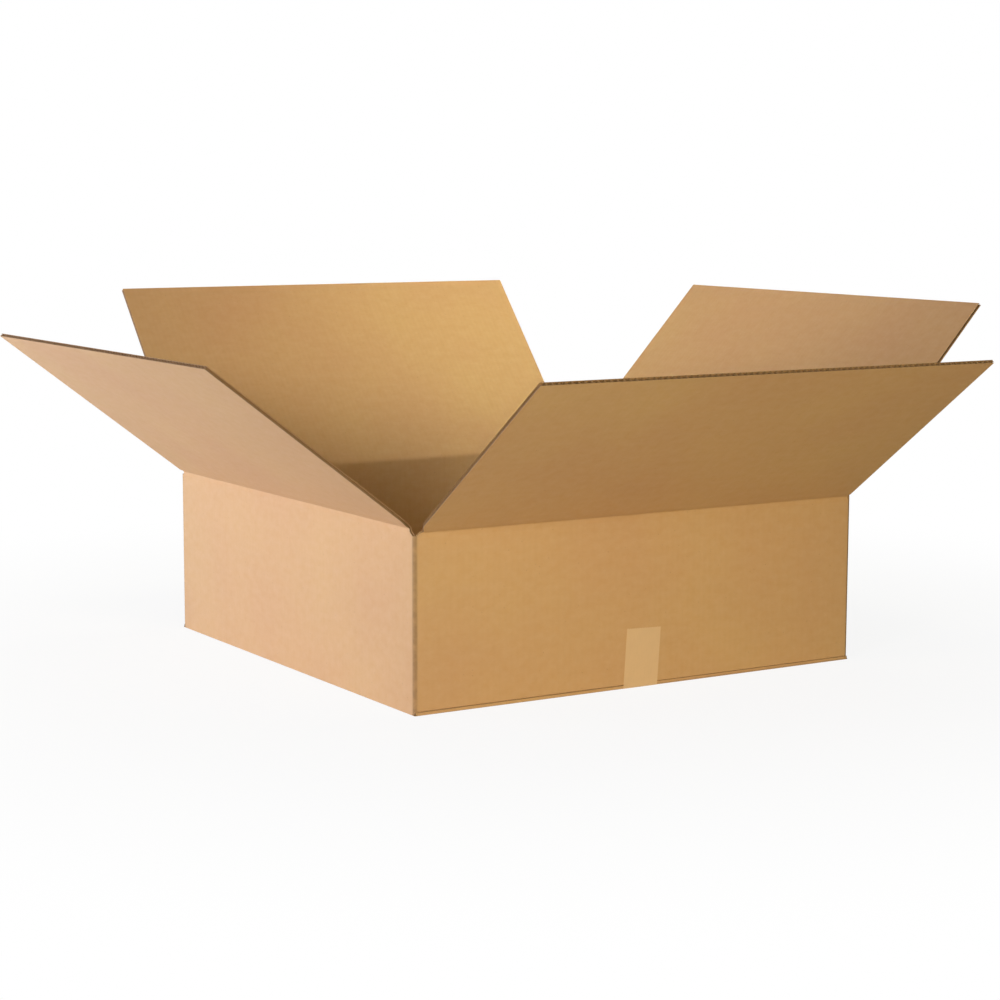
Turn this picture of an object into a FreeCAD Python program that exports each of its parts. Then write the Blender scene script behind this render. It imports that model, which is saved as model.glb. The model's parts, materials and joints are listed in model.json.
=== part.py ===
"""Square shallow corrugated shipping carton, regular slotted style, standing open.

The carton is one folded board: four walls, a glued joint tab and a floor of two
layers of flaps, taped shut underneath.  The four top flaps stand open and turn
on their creases.  Origin: centre of the underside.  +Z up, -Y towards the wall
that shows the tape, -X towards the other wall in view.  Millimetres, degrees.
"""
import FreeCAD
import Part
import math
import os

# Board and box
BOARD = 4.0                 # thickness of the corrugated board
LINER = 0.45                # each face sheet
MEDIUM = 0.35               # the fluted sheet between the faces
FLUTE_PITCH = 7.9           # from one flute to the next
FLUTE_FLAT = 0.9            # half of the flat where the medium meets a liner
FLUTE_MOUTH_DEPTH = 8.0     # how deep the flutes are open at a cut edge
INSIDE_X = 609.6            # inside, between the walls that carry the outer flaps
INSIDE_Y = 609.6            # inside, between the walls that carry the inner flaps
INNER_CREASE_HEIGHT = 204.0  # top crease of the front and back walls above the floor

# Folds and cuts
FOLD_INNER_RADIUS = 1.0     # inside of a fold in the board
SLOT_WIDTH = 9.5            # cut between two neighbouring flaps, centred on the corner
SLOT_SIDE_CLEARANCE = 0.4   # slot wall to the side of a flap
SEAM_GAP = 1.0              # between two flaps that meet
LAYER_GAP = 0.25            # between an inner and an outer flap when both are shut
CORNER_FOOT = 1.5           # how far the corner folds end above the underside

# Creases of the top flaps
CREASE_INSET = 0.8          # turning line below the outer face of the board
CREASE_CLEARANCE = 0.34     # left between wall and flap at the ends of the travel
SHUT_LEAN = -90.0           # lean of a shut flap, outwards from upright
FULL_FOLD_LEAN = 150.0      # the most that a crease can fold outwards
EDGE_TO_FLOOR = 6.0         # free edge above the floor at the outward limit

# Lean of each open flap, outwards from upright
LEFT_LEAN = 52.8
RIGHT_LEAN = 43.0
FRONT_LEAN = 53.9
BACK_LEAN = 40.8

# Glued joint tab, inside the back right corner
TAB_WIDTH = 35.0
TAB_TAPER = 15.0            # slope of the tab's two short edges
TAB_TO_CREASE = 1.0         # tab below a shut back flap
TAB_TO_FLOOR_FLAP = 1.5     # tab above the inner floor flaps
JOINT_EDGE_GAP = 0.5        # cut edge of the right wall short of the back face

# Tape
TAPE_WIDTH = 48.0
TAPE_THICKNESS = 0.2
TAPE_LAP = 70.0             # height of each tape end on its wall

# Worked out from the sizes above
OUTER_X = INSIDE_X + 2 * BOARD
OUTER_Y = INSIDE_Y + 2 * BOARD
FOLD_OUTER_RADIUS = FOLD_INNER_RADIUS + BOARD
OUTER_CREASE_HEIGHT = INNER_CREASE_HEIGHT + BOARD + LAYER_GAP
OUTER_FLAP_LENGTH = OUTER_X / 2 - CREASE_INSET - SEAM_GAP / 2
INNER_FLAP_LENGTH = min(OUTER_FLAP_LENGTH, OUTER_Y / 2 - CREASE_INSET - SEAM_GAP / 2)
INNER_FLOOR = BOARD + LAYER_GAP
FLOOR_TOP = INNER_FLOOR + BOARD
INNER_FLAP_WIDTH = OUTER_X - SLOT_WIDTH
OUTER_FLAP_WIDTH = OUTER_Y - SLOT_WIDTH
Z_AXIS = FreeCAD.Vector(0, 0, 1)


def point(x, y, z):
    return FreeCAD.Vector(x, y, z)


def polygon_face(points):
    return Part.Face(Part.makePolygon(points + points[:1]))


def outward_limit(crease_height, length):
    """Lean at which the flap's free edge comes down near the floor."""
    drop = (crease_height - EDGE_TO_FLOOR) / length
    steepest = -math.cos(math.radians(FULL_FOLD_LEAN))
    return math.degrees(math.acos(-min(drop, steepest)))


def crease_points(limit):
    """Outer, tip and inner point of the edge that both sides of a crease share.

    Each point is (outward from the turning line, distance along the board).
    The two slanted edges meet the same edges of the other side, with half the
    clearance each, at the outward limit and when the flap is shut.
    """
    outer_slant = math.radians((180.0 - limit) / 2)
    inner_slant = math.radians((180.0 + SHUT_LEAN) / 2)
    outer_back = CREASE_CLEARANCE / 2 / math.cos(outer_slant)
    inner_back = CREASE_CLEARANCE / 2 / math.cos(inner_slant)
    tip = (outer_back + inner_back) / (math.tan(outer_slant) + math.tan(inner_slant))
    outer = (CREASE_INSET + outer_back) / math.tan(outer_slant)
    inner = (BOARD - CREASE_INSET + inner_back) / math.tan(inner_slant)
    return [
        (CREASE_INSET, outer),
        (tip * math.tan(outer_slant) - outer_back, tip),
        (CREASE_INSET - BOARD, inner),
    ]


def turned(shape, quarter_turns):
    """A copy turned about the carton's upright middle line."""
    copy = shape.copy()
    copy.rotate(point(0, 0, 0), Z_AXIS, 90.0 * quarter_turns)
    return copy


def flute_mouth(across, side):
    """One open flute at the free edge, as (outward, across) points of its section.

    It lies between the face sheet on the given side, 1 for the outer one and -1
    for the inner one, and the fluted sheet, which has short flats at its crests.
    """
    rise = BOARD / 2 - LINER - MEDIUM / 2
    run = FLUTE_PITCH / 2 - 2 * FLUTE_FLAT
    half_sheet = MEDIUM / 2 / math.sin(math.atan2(2 * rise, run))
    at_liner = BOARD / 2 - LINER
    at_medium = MEDIUM / 2 - rise
    corners = []
    for height, sign in ((at_liner, -1), (at_liner, 1), (at_medium, 1), (at_medium, -1)):
        half_width = FLUTE_FLAT + run * (height + rise) / (2 * rise) - half_sheet
        corners.append((side * height, across + sign * half_width))
    return corners


def flute_mouths(width, length):
    """All the open flutes at the free edge of an upright flap at Y = 0."""
    count = 2 * int(width // FLUTE_PITCH)
    middle = CREASE_INSET - BOARD / 2
    start = length - FLUTE_MOUTH_DEPTH
    cutters = []
    for index in range(count):
        across = (index - (count - 1) / 2) * FLUTE_PITCH / 2
        section = flute_mouth(across, 1 if index % 2 == 0 else -1)
        corners = [point(x, -(middle + outward), start) for outward, x in section]
        cutters.append(polygon_face(corners).extrude(point(0, 0, 2 * FLUTE_MOUTH_DEPTH)))
    return Part.makeCompound(cutters)


def upright_flap(width, length, limit):
    """A flap upright over the front wall, its turning line on the X axis."""
    outer, tip, inner = crease_points(limit)
    section = [
        point(-width / 2, -outer[0], outer[1]),
        point(-width / 2, -outer[0], length),
        point(-width / 2, -inner[0], length),
        point(-width / 2, -inner[0], inner[1]),
        point(-width / 2, -tip[0], tip[1]),
    ]
    board = polygon_face(section).extrude(point(width, 0, 0))
    return board.cut(flute_mouths(width, length))


def top_flap(width, length, crease_height, wall_distance, lean, quarter_turns):
    """An open flap, leaned out from upright and turned to its own wall."""
    limit = outward_limit(crease_height, length)
    flap = upright_flap(width, length, limit)
    flap.rotate(point(0, 0, 0), point(1, 0, 0), lean)
    flap.translate(point(0, CREASE_INSET - wall_distance, crease_height))
    return turned(flap, quarter_turns)


def corner_column(x_side, y_side):
    """The folded corner between two walls, as a quarter of a tube."""
    centre = point(
        x_side * (OUTER_X / 2 - FOLD_OUTER_RADIUS),
        y_side * (OUTER_Y / 2 - FOLD_OUTER_RADIUS),
        CORNER_FOOT,
    )
    height = OUTER_CREASE_HEIGHT - CORNER_FOOT
    outer = Part.makeCylinder(FOLD_OUTER_RADIUS, height, centre)
    inner = Part.makeCylinder(FOLD_INNER_RADIUS, height, centre)
    quarter = Part.makeBox(
        FOLD_OUTER_RADIUS,
        FOLD_OUTER_RADIUS,
        height,
        point(
            centre.x if x_side > 0 else centre.x - FOLD_OUTER_RADIUS,
            centre.y if y_side > 0 else centre.y - FOLD_OUTER_RADIUS,
            CORNER_FOOT,
        ),
    )
    return outer.cut(inner).common(quarter)


def wall_with_floor_flap(length, wall_distance, crease_height, flap_length, floor_height, limit):
    """The front wall, folded under at the bottom, between its two corner slots."""
    outer, tip, inner = crease_points(limit)
    face = -wall_distance
    turn = face + CREASE_INSET
    fold_y = face + FOLD_OUTER_RADIUS
    fold_z = floor_height + FOLD_OUTER_RADIUS
    free_y = face + CREASE_INSET + flap_length

    def at(y, z):
        return point(-length / 2, y, z)

    def on_fold(radius):
        return at(fold_y - radius * math.sqrt(0.5), fold_z - radius * math.sqrt(0.5))

    outer_edge = at(face, crease_height - outer[1])
    tip_edge = at(turn - tip[0], crease_height - tip[1])
    inner_edge = at(face + BOARD, crease_height - inner[1])
    inside = floor_height + BOARD
    edges = [
        Part.makeLine(at(face, fold_z), outer_edge),
        Part.makeLine(outer_edge, tip_edge),
        Part.makeLine(tip_edge, inner_edge),
        Part.makeLine(inner_edge, at(face + BOARD, fold_z)),
        Part.Arc(at(face + BOARD, fold_z), on_fold(FOLD_INNER_RADIUS), at(fold_y, inside)).toShape(),
        Part.makeLine(at(fold_y, inside), at(free_y, inside)),
        Part.makeLine(at(free_y, inside), at(free_y, floor_height)),
        Part.makeLine(at(free_y, floor_height), at(fold_y, floor_height)),
        Part.Arc(at(fold_y, floor_height), on_fold(FOLD_OUTER_RADIUS), at(face, fold_z)).toShape(),
    ]
    return Part.Face(Part.Wire(edges)).extrude(point(length, 0, 0))


def inner_wall():
    """The front wall with its inner floor flap."""
    return wall_with_floor_flap(
        INNER_FLAP_WIDTH,
        OUTER_Y / 2,
        INNER_CREASE_HEIGHT,
        INNER_FLAP_LENGTH,
        INNER_FLOOR,
        outward_limit(INNER_CREASE_HEIGHT, INNER_FLAP_LENGTH),
    )


def outer_wall():
    """The left wall with its outer floor flap, in the front wall's place."""
    return wall_with_floor_flap(
        OUTER_FLAP_WIDTH,
        OUTER_X / 2,
        OUTER_CREASE_HEIGHT,
        OUTER_FLAP_LENGTH,
        0.0,
        outward_limit(OUTER_CREASE_HEIGHT, OUTER_FLAP_LENGTH),
    )


def corner_slots():
    """Room beside the creases and the floor folds, so that the flaps pass the corners."""
    deep = FOLD_OUTER_RADIUS
    inner_wide = INNER_FLAP_WIDTH + 2 * SLOT_SIDE_CLEARANCE
    outer_wide = OUTER_FLAP_WIDTH + 2 * SLOT_SIDE_CLEARANCE
    bevel = crease_points(outward_limit(INNER_CREASE_HEIGHT, INNER_FLAP_LENGTH))[2][1]
    inner_top = INNER_CREASE_HEIGHT - bevel
    bevel = crease_points(outward_limit(OUTER_CREASE_HEIGHT, OUTER_FLAP_LENGTH))[2][1]
    outer_top = OUTER_CREASE_HEIGHT - bevel
    inner_foot = INNER_FLOOR + FOLD_OUTER_RADIUS
    outer_foot = FOLD_OUTER_RADIUS
    above = OUTER_CREASE_HEIGHT + BOARD
    cutters = []
    for low, high in ((0.0, inner_foot), (inner_top, above)):
        for face in (-OUTER_Y / 2, OUTER_Y / 2 - deep):
            corner = point(-inner_wide / 2, face, low)
            cutters.append(Part.makeBox(inner_wide, deep, high - low, corner))
    for low, high in ((0.0, outer_foot), (outer_top, above)):
        for face in (-OUTER_X / 2, OUTER_X / 2 - deep):
            corner = point(face, -outer_wide / 2, low)
            cutters.append(Part.makeBox(deep, outer_wide, high - low, corner))
    return Part.makeCompound(cutters)


def joint_tab():
    """The glued tab: it turns in from the back wall and lies on the right wall."""
    outside = OUTER_X / 2 - BOARD
    fold_x = outside - FOLD_OUTER_RADIUS
    fold_y = OUTER_Y / 2 - FOLD_OUTER_RADIUS
    low = FLOOR_TOP + TAB_TO_FLOOR_FLAP
    high = INNER_CREASE_HEIGHT - BOARD - TAB_TO_CREASE
    drop = (TAB_WIDTH - FOLD_OUTER_RADIUS) * math.tan(math.radians(TAB_TAPER))
    end_y = OUTER_Y / 2 - TAB_WIDTH
    strip = polygon_face([
        point(outside - BOARD, fold_y, low),
        point(outside - BOARD, fold_y, high),
        point(outside - BOARD, end_y, high - drop),
        point(outside - BOARD, end_y, low + drop),
    ]).extrude(point(BOARD, 0, 0))
    centre = point(fold_x, fold_y, low)
    fold = Part.makeCylinder(FOLD_OUTER_RADIUS, high - low, centre)
    fold = fold.cut(Part.makeCylinder(FOLD_INNER_RADIUS, high - low, centre))
    quarter = Part.makeBox(FOLD_OUTER_RADIUS, FOLD_OUTER_RADIUS, high - low, centre)
    return strip.fuse(fold.common(quarter))


def tape_press():
    """The shallow band that the tape leaves in the underside."""
    long_way = OUTER_Y + 2 * BOARD
    corner = point(-TAPE_WIDTH / 2, -long_way / 2, -TAPE_THICKNESS)
    return Part.makeBox(TAPE_WIDTH, long_way, 2 * TAPE_THICKNESS, corner)


def right_wall_end():
    """The right wall's last stretch, up to its cut edge at the joint corner."""
    start_y = OUTER_FLAP_WIDTH / 2
    length = OUTER_Y / 2 - JOINT_EDGE_GAP - start_y
    height = OUTER_CREASE_HEIGHT - CORNER_FOOT
    corner = point(OUTER_X / 2 - BOARD, start_y, CORNER_FOOT)
    return Part.makeBox(BOARD, length, height, corner)


def wall_to_corner(x_side, y_side):
    """The short flat stretches of wall between a corner fold and its two slots."""
    height = OUTER_CREASE_HEIGHT - CORNER_FOOT
    fold_x = OUTER_X / 2 - FOLD_OUTER_RADIUS
    fold_y = OUTER_Y / 2 - FOLD_OUTER_RADIUS
    start_x = INNER_FLAP_WIDTH / 2 - BOARD
    start_y = OUTER_FLAP_WIDTH / 2 - BOARD
    stretches = [
        (start_x, OUTER_Y / 2 - BOARD, fold_x, OUTER_Y / 2),
        (OUTER_X / 2 - BOARD, start_y, OUTER_X / 2, fold_y),
    ]
    pieces = []
    for x0, y0, x1, y1 in stretches:
        if x1 > x0 and y1 > y0:
            left = x0 if x_side > 0 else -x1
            near = y0 if y_side > 0 else -y1
            pieces.append(Part.makeBox(x1 - x0, y1 - y0, height, point(left, near, CORNER_FOOT)))
    return pieces


def carton_body():
    """The whole folded board below the top creases, as one solid."""
    corners = []
    for x_side, y_side in ((-1, -1), (1, -1), (-1, 1)):
        corners.append(corner_column(x_side, y_side))
        corners.extend(wall_to_corner(x_side, y_side))
    corners.append(right_wall_end())
    corner_work = corners[0].multiFuse(corners[1:]).cut(corner_slots())
    front = inner_wall()
    right = outer_wall()
    walls = [turned(front, 2), turned(right, 1), turned(right, 3), corner_work, joint_tab()]
    board = front.multiFuse(walls)
    return board.cut(tape_press()).removeSplitter()


def tape_side(offset):
    """Points of the front half of the tape's path, a given distance off the board.

    The tape comes down the front wall, round the fold of the inner floor flap and
    across the step to the bottom edge of the outer floor flaps.
    """
    face = -OUTER_Y / 2
    fold_y = face + FOLD_OUTER_RADIUS
    fold_z = INNER_FLOOR + FOLD_OUTER_RADIUS
    edge_y = -OUTER_FLAP_WIDTH / 2
    edge_z = TAPE_THICKNESS
    reach = math.hypot(edge_y - fold_y, edge_z - fold_z)
    to_edge = math.atan2(edge_z - fold_z, edge_y - fold_y)
    touch = to_edge - math.acos(FOLD_OUTER_RADIUS / reach)
    middle = (touch - math.pi) / 2
    radius = FOLD_OUTER_RADIUS + offset

    def on_fold(angle):
        return point(0, fold_y + radius * math.cos(angle), fold_z + radius * math.sin(angle))

    off_edge = point(0, edge_y + offset * math.cos(touch), edge_z + offset * math.sin(touch))
    return {
        "end": point(0, face - offset, TAPE_LAP),
        "fold_start": point(0, face - offset, fold_z),
        "fold_middle": on_fold(middle),
        "fold_end": on_fold(touch),
        "edge": off_edge,
        "edge_touch": touch,
    }


def bottom_tape():
    """One strip of tape: along the seam underneath and a lap up both walls."""
    board_side = tape_side(0.0)
    open_side = tape_side(TAPE_THICKNESS)
    edge = board_side["edge"]
    half_turn = (board_side["edge_touch"] - math.pi / 2) / 2
    roll = point(
        0,
        edge.y + TAPE_THICKNESS * math.cos(half_turn),
        edge.z + TAPE_THICKNESS * math.sin(half_turn),
    )
    under = point(0, edge.y, edge.z - TAPE_THICKNESS)
    middle_top = point(0, 0, edge.z)
    middle_under = point(0, 0, edge.z - TAPE_THICKNESS)
    edges = [
        Part.makeLine(board_side["end"], board_side["fold_start"]),
        Part.Arc(board_side["fold_start"], board_side["fold_middle"], board_side["fold_end"]).toShape(),
        Part.makeLine(board_side["fold_end"], edge),
        Part.makeLine(edge, middle_top),
        Part.makeLine(middle_top, middle_under),
        Part.makeLine(middle_under, under),
        Part.Arc(under, roll, open_side["edge"]).toShape(),
        Part.makeLine(open_side["edge"], open_side["fold_end"]),
        Part.Arc(open_side["fold_end"], open_side["fold_middle"], open_side["fold_start"]).toShape(),
        Part.makeLine(open_side["fold_start"], open_side["end"]),
        Part.makeLine(open_side["end"], board_side["end"]),
    ]
    half = Part.Face(Part.Wire(edges)).extrude(point(TAPE_WIDTH, 0, 0))
    half.translate(point(-TAPE_WIDTH / 2, 0, 0))
    return half.fuse(turned(half, 2)).removeSplitter()


def inner_flap(lean, quarter_turns):
    return top_flap(
        INNER_FLAP_WIDTH,
        INNER_FLAP_LENGTH,
        INNER_CREASE_HEIGHT,
        OUTER_Y / 2,
        lean,
        quarter_turns,
    )


def outer_flap(lean, quarter_turns):
    return top_flap(
        OUTER_FLAP_WIDTH,
        OUTER_FLAP_LENGTH,
        OUTER_CREASE_HEIGHT,
        OUTER_X / 2,
        lean,
        quarter_turns,
    )


def main():
    nodes = {
        "carton_body": carton_body(),
        "bottom_tape": bottom_tape(),
        "front_flap": inner_flap(FRONT_LEAN, 0),
        "right_flap": outer_flap(RIGHT_LEAN, 1),
        "back_flap": inner_flap(BACK_LEAN, 2),
        "left_flap": outer_flap(LEFT_LEAN, 3),
    }
    os.makedirs("parts", exist_ok=True)
    for name, shape in nodes.items():
        box = shape.BoundBox
        print(f"{name}: solids {len(shape.Solids)}, valid {shape.isValid()},"
              f" volume {shape.Volume / 1000:.1f} cm3,"
              f" z {box.ZMin:.2f} to {box.ZMax:.2f}")
        shape.exportStep(f"parts/{name}.step")
    inner_limit = outward_limit(INNER_CREASE_HEIGHT, INNER_FLAP_LENGTH)
    outer_limit = outward_limit(OUTER_CREASE_HEIGHT, OUTER_FLAP_LENGTH)
    print(f"outward limits: inner flaps {inner_limit:.2f}, outer flaps {outer_limit:.2f}")


main()
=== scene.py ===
"""Square shallow corrugated carton, standing open with its floor taped.

The board is built flat, as it lies on the cutting table: two face sheets with a
fluted sheet between them.  It is then folded over the frame's corners, floor and
top creases.  Metres, +Z up, -Y towards the wall that shows the tape end.
"""
import json
import math
import bpy
import numpy as np
from bpy.props import FloatProperty, FloatVectorProperty, IntProperty, PointerProperty
from mathutils import Matrix, Vector


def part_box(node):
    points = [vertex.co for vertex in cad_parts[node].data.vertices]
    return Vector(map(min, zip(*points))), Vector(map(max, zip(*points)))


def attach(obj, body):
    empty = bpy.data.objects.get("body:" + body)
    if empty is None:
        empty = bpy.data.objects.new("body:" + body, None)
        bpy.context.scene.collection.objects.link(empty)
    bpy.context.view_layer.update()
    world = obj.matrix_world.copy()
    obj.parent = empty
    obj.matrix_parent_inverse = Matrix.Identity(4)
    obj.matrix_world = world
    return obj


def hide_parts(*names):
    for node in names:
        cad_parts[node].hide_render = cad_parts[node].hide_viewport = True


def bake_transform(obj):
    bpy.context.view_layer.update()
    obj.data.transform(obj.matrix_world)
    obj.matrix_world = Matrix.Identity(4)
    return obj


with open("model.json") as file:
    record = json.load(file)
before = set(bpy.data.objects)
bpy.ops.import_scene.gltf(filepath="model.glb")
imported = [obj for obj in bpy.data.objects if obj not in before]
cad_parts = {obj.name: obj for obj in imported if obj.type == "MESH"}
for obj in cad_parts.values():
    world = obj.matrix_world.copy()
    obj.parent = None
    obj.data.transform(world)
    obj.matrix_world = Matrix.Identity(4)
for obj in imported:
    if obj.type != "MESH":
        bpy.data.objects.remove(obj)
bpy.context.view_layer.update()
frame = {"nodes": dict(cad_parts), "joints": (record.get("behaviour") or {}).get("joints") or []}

bl_info = {
    "name": "Open corrugated carton",
    "version": (1, 0, 0),
    "blender": (4, 5, 0),
    "location": "3D View > Sidebar > Carton",
    "description": "Builds an open corrugated carton, its tape and a studio stage",
    "category": "Object",
}

UP = Vector((0, 0, 1))
QUARTER = math.pi / 2
JOINTS = {joint["child"]: joint for joint in frame["joints"]}
FLAP_BODIES = ("front", "right", "back", "left")
BODY_LOW, BODY_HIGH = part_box("carton_body")
HALF_X = BODY_HIGH.x
HALF_Y = BODY_HIGH.y
TAPE_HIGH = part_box("bottom_tape")[1]

# Material slots of every board piece
OUTSIDE, INSIDE, MEDIUM = range(3)

# Places closer than this are one, and mesh columns of a wall or flap are this far apart
TINY = 1e-7
COLUMN_STEP = 0.032

# Above the crease, a top slot's flare fades out over this many times its size
FLARE_REACH = 3


class BoardSizes(bpy.types.PropertyGroup):
    """Sizes of the corrugated board and of its folds."""
    thickness: FloatProperty(
        name="Board", description="Thickness of the corrugated board",
        default=0.004, unit="LENGTH")
    liner: FloatProperty(
        name="Face sheet", description="Thickness of each face sheet",
        default=0.0003, unit="LENGTH")
    medium: FloatProperty(
        name="Fluted sheet", description="Thickness of the sheet between the faces",
        default=0.00025, unit="LENGTH")
    pitch: FloatProperty(
        name="Flute pitch", description="Distance from one flute to the next",
        default=0.0079, unit="LENGTH")
    columns_per_flute: IntProperty(
        name="Steps per flute", description="Mesh columns across one flute", default=8)
    fold_radius: FloatProperty(
        name="Corner radius", description="Outer radius of the upright corner folds",
        default=0.005, unit="LENGTH")
    floor_radius: FloatProperty(
        name="Floor fold radius", description="Outer radius of the folds of the floor flaps",
        default=0.0009, unit="LENGTH")
    fold_pinch: FloatProperty(
        name="Fold pinch", description="Share of the thickness that a floor fold presses in",
        default=0.55, subtype="FACTOR")
    slot_width: FloatProperty(
        name="Slot", description="Cut between two neighbouring flaps",
        default=0.0095, unit="LENGTH")
    seam_gap: FloatProperty(
        name="Floor seam", description="Gap between two floor flaps that meet",
        default=0.001, unit="LENGTH")
    floor_edge: FloatProperty(
        name="Floor edge", description="Step from a wall's face back to the outer floor flaps",
        default=0.0002, unit="LENGTH")
    layer_gap: FloatProperty(
        name="Layer gap", description="Gap between the two layers of the floor",
        default=0.00025, unit="LENGTH")
    bend_reach: FloatProperty(
        name="Bend", description="Board on each side of a top crease that bends",
        default=0.005, unit="LENGTH")
    crease_reach: FloatProperty(
        name="Crease band", description="Board below a top crease that goes with the flap's mesh",
        default=0.0065, unit="LENGTH")
    crease_pinch: FloatProperty(
        name="Crease pinch", description="Share of the board's thickness pressed in at a crease",
        default=0.3, subtype="FACTOR")
    crease_width: FloatProperty(
        name="Crease width", description="Half width of the pressed crease line",
        default=0.0026, unit="LENGTH")
    crease_dip: FloatProperty(
        name="Crease dip", description="Depth of the pressed line on the outer face",
        default=0.0007, unit="LENGTH")
    slit: FloatProperty(
        name="Slit", description="Cut between a floor flap and the corner beside it",
        default=0.0004, unit="LENGTH")
    slot_bowl: FloatProperty(
        name="Slot end", description="Depth of a top slot's rounded end below the outer creases",
        default=0.0035, unit="LENGTH")
    slot_flare: FloatProperty(
        name="Slot flare", description="How far a top slot's rounded end cuts into each flap",
        default=0.0012, unit="LENGTH")
    worn_bowl: FloatProperty(
        name="Worn slot end", description="Depth of the worn slot at the near corner",
        default=0.007, unit="LENGTH")
    worn_flare: FloatProperty(
        name="Worn slot flare",
        description="How far the worn slot cuts into the two flaps beside it",
        default=0.0065, unit="LENGTH")
    tab_width: FloatProperty(
        name="Joint tab", description="Width of the glued joint tab",
        default=0.035, unit="LENGTH")
    tab_taper: FloatProperty(
        name="Tab taper", description="Slope of the tab's short edges",
        default=math.radians(15), subtype="ANGLE")


class TapeSizes(bpy.types.PropertyGroup):
    """Sizes of the sealing tape."""
    thickness: FloatProperty(
        name="Tape", description="Thickness of the tape",
        default=0.00012, unit="LENGTH")
    lift: FloatProperty(
        name="Lift", description="Film of glue under the tape",
        default=0.00003, unit="LENGTH")
    askew: FloatProperty(
        name="Askew", description="Sideways step of the tape where it leaves the front wall",
        default=0.0046, unit="LENGTH")
    end_turn: FloatProperty(
        name="End turn", description="Share of the tape's skew that its front end takes",
        default=0.5, subtype="FACTOR")
    tooth: FloatProperty(
        name="Tooth", description="Height of the teeth that the cutter leaves",
        default=0.0007, unit="LENGTH")
    tooth_pitch: FloatProperty(
        name="Tooth pitch", description="Distance between two teeth",
        default=0.0024, unit="LENGTH")


class CartonColours(bpy.types.PropertyGroup):
    """Colours of the board and the tape."""
    outside: FloatVectorProperty(
        name="Outside", description="Kraft face on the outside",
        default=(0.60, 0.375, 0.195), size=3, subtype="COLOR")
    inside: FloatVectorProperty(
        name="Inside", description="Kraft face on the inside",
        default=(0.58, 0.355, 0.18), size=3, subtype="COLOR")
    medium: FloatVectorProperty(
        name="Fluting", description="Fluted sheet",
        default=(0.34, 0.215, 0.115), size=3, subtype="COLOR")
    tape: FloatVectorProperty(
        name="Tape", description="Tan film of the tape",
        default=(0.70, 0.485, 0.285), size=3, subtype="COLOR")


class StageSettings(bpy.types.PropertyGroup):
    """Camera and studio light."""
    camera_place: FloatVectorProperty(
        name="Camera", description="Place of the camera",
        default=(-1.573, -2.5355, 0.587), size=3, subtype="TRANSLATION")
    camera_turn: FloatProperty(
        name="Turn", description="Turn of the camera from straight ahead to the right",
        default=math.radians(31.69), subtype="ANGLE")
    camera_tilt: FloatProperty(
        name="Tilt", description="Tilt of the camera below the horizon",
        default=math.radians(7.685), subtype="ANGLE")
    camera_roll: FloatProperty(
        name="Roll", description="Roll of the camera",
        default=math.radians(0.144), subtype="ANGLE")
    lens: FloatProperty(
        name="Lens", description="Focal length in millimetres", default=85.19)
    key_power: FloatProperty(
        name="Key", description="Power of the softbox to the left of the camera",
        default=72.5, unit="POWER")
    key_tint: FloatVectorProperty(
        name="Key tint", description="Colour of the key light",
        default=(0.96, 0.945, 1.0), size=3, subtype="COLOR")
    low_power: FloatProperty(
        name="Low fill", description="Power of the low strip on the left",
        default=24.0, unit="POWER")
    low_tint: FloatVectorProperty(
        name="Low tint", description="Colour of the low strip",
        default=(0.69, 0.775, 1.0), size=3, subtype="COLOR")
    front_power: FloatProperty(
        name="Front fill", description="Power of the warm softbox beside the camera",
        default=39.0, unit="POWER")
    front_tint: FloatVectorProperty(
        name="Front tint", description="Colour of the front fill",
        default=(1.0, 0.85, 0.36), size=3, subtype="COLOR")
    rear_power: FloatProperty(
        name="Rear fill", description="Power of the softbox behind",
        default=22.0, unit="POWER")
    rear_tint: FloatVectorProperty(
        name="Rear tint", description="Colour of the rear fill",
        default=(0.96, 1.0, 0.77), size=3, subtype="COLOR")
    over_power: FloatProperty(
        name="Overhead", description="Power of the small softbox over the far flap",
        default=1.9, unit="POWER")
    over_tint: FloatVectorProperty(
        name="Overhead tint", description="Colour of the overhead light",
        default=(1.0, 0.83, 0.6), size=3, subtype="COLOR")
    beam_power: FloatProperty(
        name="Beam", description="Power of the narrow beam on the far corner",
        default=0.65, unit="POWER")
    beam_tint: FloatVectorProperty(
        name="Beam tint", description="Colour of the beam",
        default=(0.9, 1.0, 0.66), size=3, subtype="COLOR")


def wire(tree, node, **inputs):
    """Set or link a node's inputs, given by name with _ for a space, or by i and a number."""
    for key, value in inputs.items():
        numbered = key[0] == "i" and key[1:].isdigit()
        socket = node.inputs[int(key[1:]) if numbered else key.replace("_", " ")]
        if isinstance(value, bpy.types.NodeSocket):
            tree.links.new(value, socket)
        else:
            socket.default_value = value


def new_nodes(tree):
    """A function that adds a node of a type, sets its values and wires its inputs."""
    def add(kind, settings=(), **inputs):
        node = tree.nodes.new(kind)
        for key, value in dict(settings).items():
            setattr(node, key, value)
        wire(tree, node, **inputs)
        return node
    return add


def add_sockets(tree, in_out, kind, *names):
    """Inputs or outputs of one kind for a node group."""
    for name in names:
        tree.interface.new_socket(name=name, in_out=in_out, socket_type="NodeSocket" + kind)


def new_material(name):
    """A material, its node tree and a function that adds nodes to it."""
    material = bpy.data.materials.new(name)
    material.use_nodes = True
    return material, material.node_tree, new_nodes(material.node_tree)


def maths(add, operation, first, second=0.0):
    """One math node; returns its output."""
    return add("ShaderNodeMath", {"operation": operation}, i0=first, i1=second).outputs[0]


def plus(add, total, *others):
    """Math nodes that add up all the values."""
    for other in others:
        total = maths(add, "ADD", total, other)
    return total


def times(add, first, second):
    """One math node that multiplies two values."""
    return maths(add, "MULTIPLY", first, second)


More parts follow.
